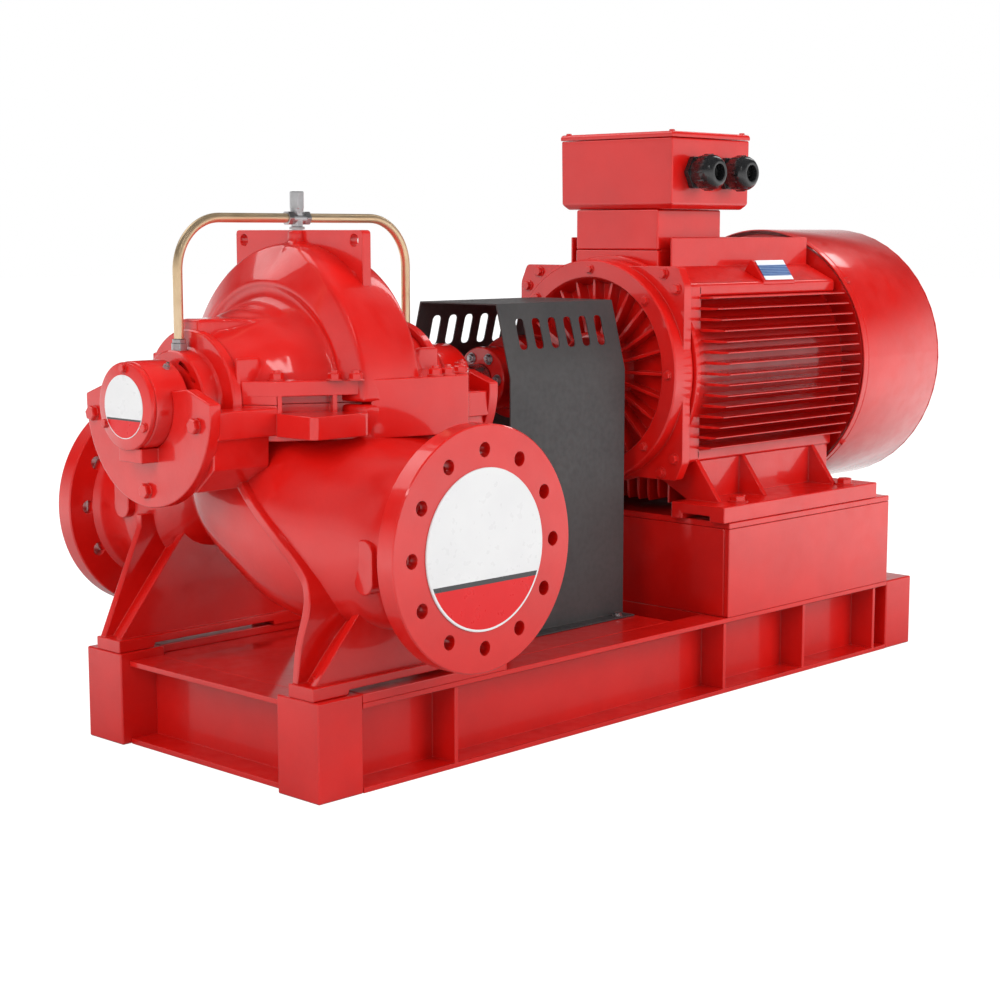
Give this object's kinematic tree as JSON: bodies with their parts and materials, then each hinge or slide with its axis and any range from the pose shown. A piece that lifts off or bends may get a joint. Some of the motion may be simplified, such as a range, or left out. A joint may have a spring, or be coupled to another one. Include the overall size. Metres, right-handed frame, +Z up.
{
  "type": "split case pump set",
  "caption": "Horizontal split case pump with side nozzles, sheet coupling guard and finned electric motor on a fabricated steel base frame.",
  "frame": {"origin": "centre of the bounding box, at floor level, under the shaft axis", "axes": "+X along the shaft from the pump to the motor, -Y the discharge flange side, +Z up"},
  "size_m": [1.9583, 0.8926, 1.08],
  "materials": {
    "red_paint": "glossy red paint over cast iron and steel",
    "guard_paint": "satin charcoal powder coat on folded sheet",
    "copper_pipe": "drawn copper alloy tube, softly polished",
    "silver_fitting": "plated fitting, satin",
    "bright_steel": "turned steel shaft",
    "fan_plastic": "moulded black plastic",
    "white_disc": "white printed disc, smooth",
    "black_plastic": "moulded black cable gland"
  },
  "bodies": {
    "pump_frame": {"base_rail_front": "red_paint", "base_rail_rear": "red_paint", "end_channel_pump": "red_paint", "end_channel_motor": "red_paint", "corner_post_front_pump": "red_paint", "corner_post_rear_pump": "red_paint", "corner_post_front_motor": "red_paint", "corner_post_rear_motor": "red_paint", "pump_pad_front": "red_paint", "pump_pad_rear": "red_paint", "deck_plate": "red_paint", "cross_beam_deck": "red_paint", "cross_beam_pedestal": "red_paint", "pedestal_front_plate": "red_paint", "pedestal_rear_plate": "red_paint", "pedestal_pump_end_plate": "red_paint", "pedestal_fan_end_plate": "red_paint", "pedestal_top_plate": "red_paint", "upper_casing": "red_paint", "lower_casing": "red_paint", "outboard_bearing_housing": "red_paint", "inboard_bearing_housing": "red_paint", "outboard_bearing_cover": "red_paint", "motor_frame": "red_paint", "drive_end_shield": "red_paint", "fan_cover": "red_paint", "fan_grille": "red_paint", "terminal_neck": "red_paint", "terminal_box": "red_paint", "terminal_lid": "red_paint", "coupling_guard": "guard_paint", "flush_pipe_outboard": "copper_pipe", "flush_pipe_inboard": "copper_pipe", "pipe_nut_outboard": "silver_fitting", "pipe_nut_inboard": "silver_fitting", "vent_cross": "silver_fitting", "vent_cap": "silver_fitting", "discharge_cover": "white_disc", "suction_cover": "white_disc", "cable_gland_left": "black_plastic", "cable_gland_right": "black_plastic"},
    "drive_line": {"pump_shaft": "bright_steel", "pump_coupling_half": "red_paint", "motor_coupling_half": "red_paint", "motor_shaft": "bright_steel", "cooling_fan": "fan_plastic"}
  },
  "joints": [
    {"name": "shaft_spin", "type": "hinge", "parent": "pump_frame", "child": "drive_line", "pos_m": [-0.15385, 0, 0.613], "axis": [1, 0, 0], "continuous": true}
  ]
}
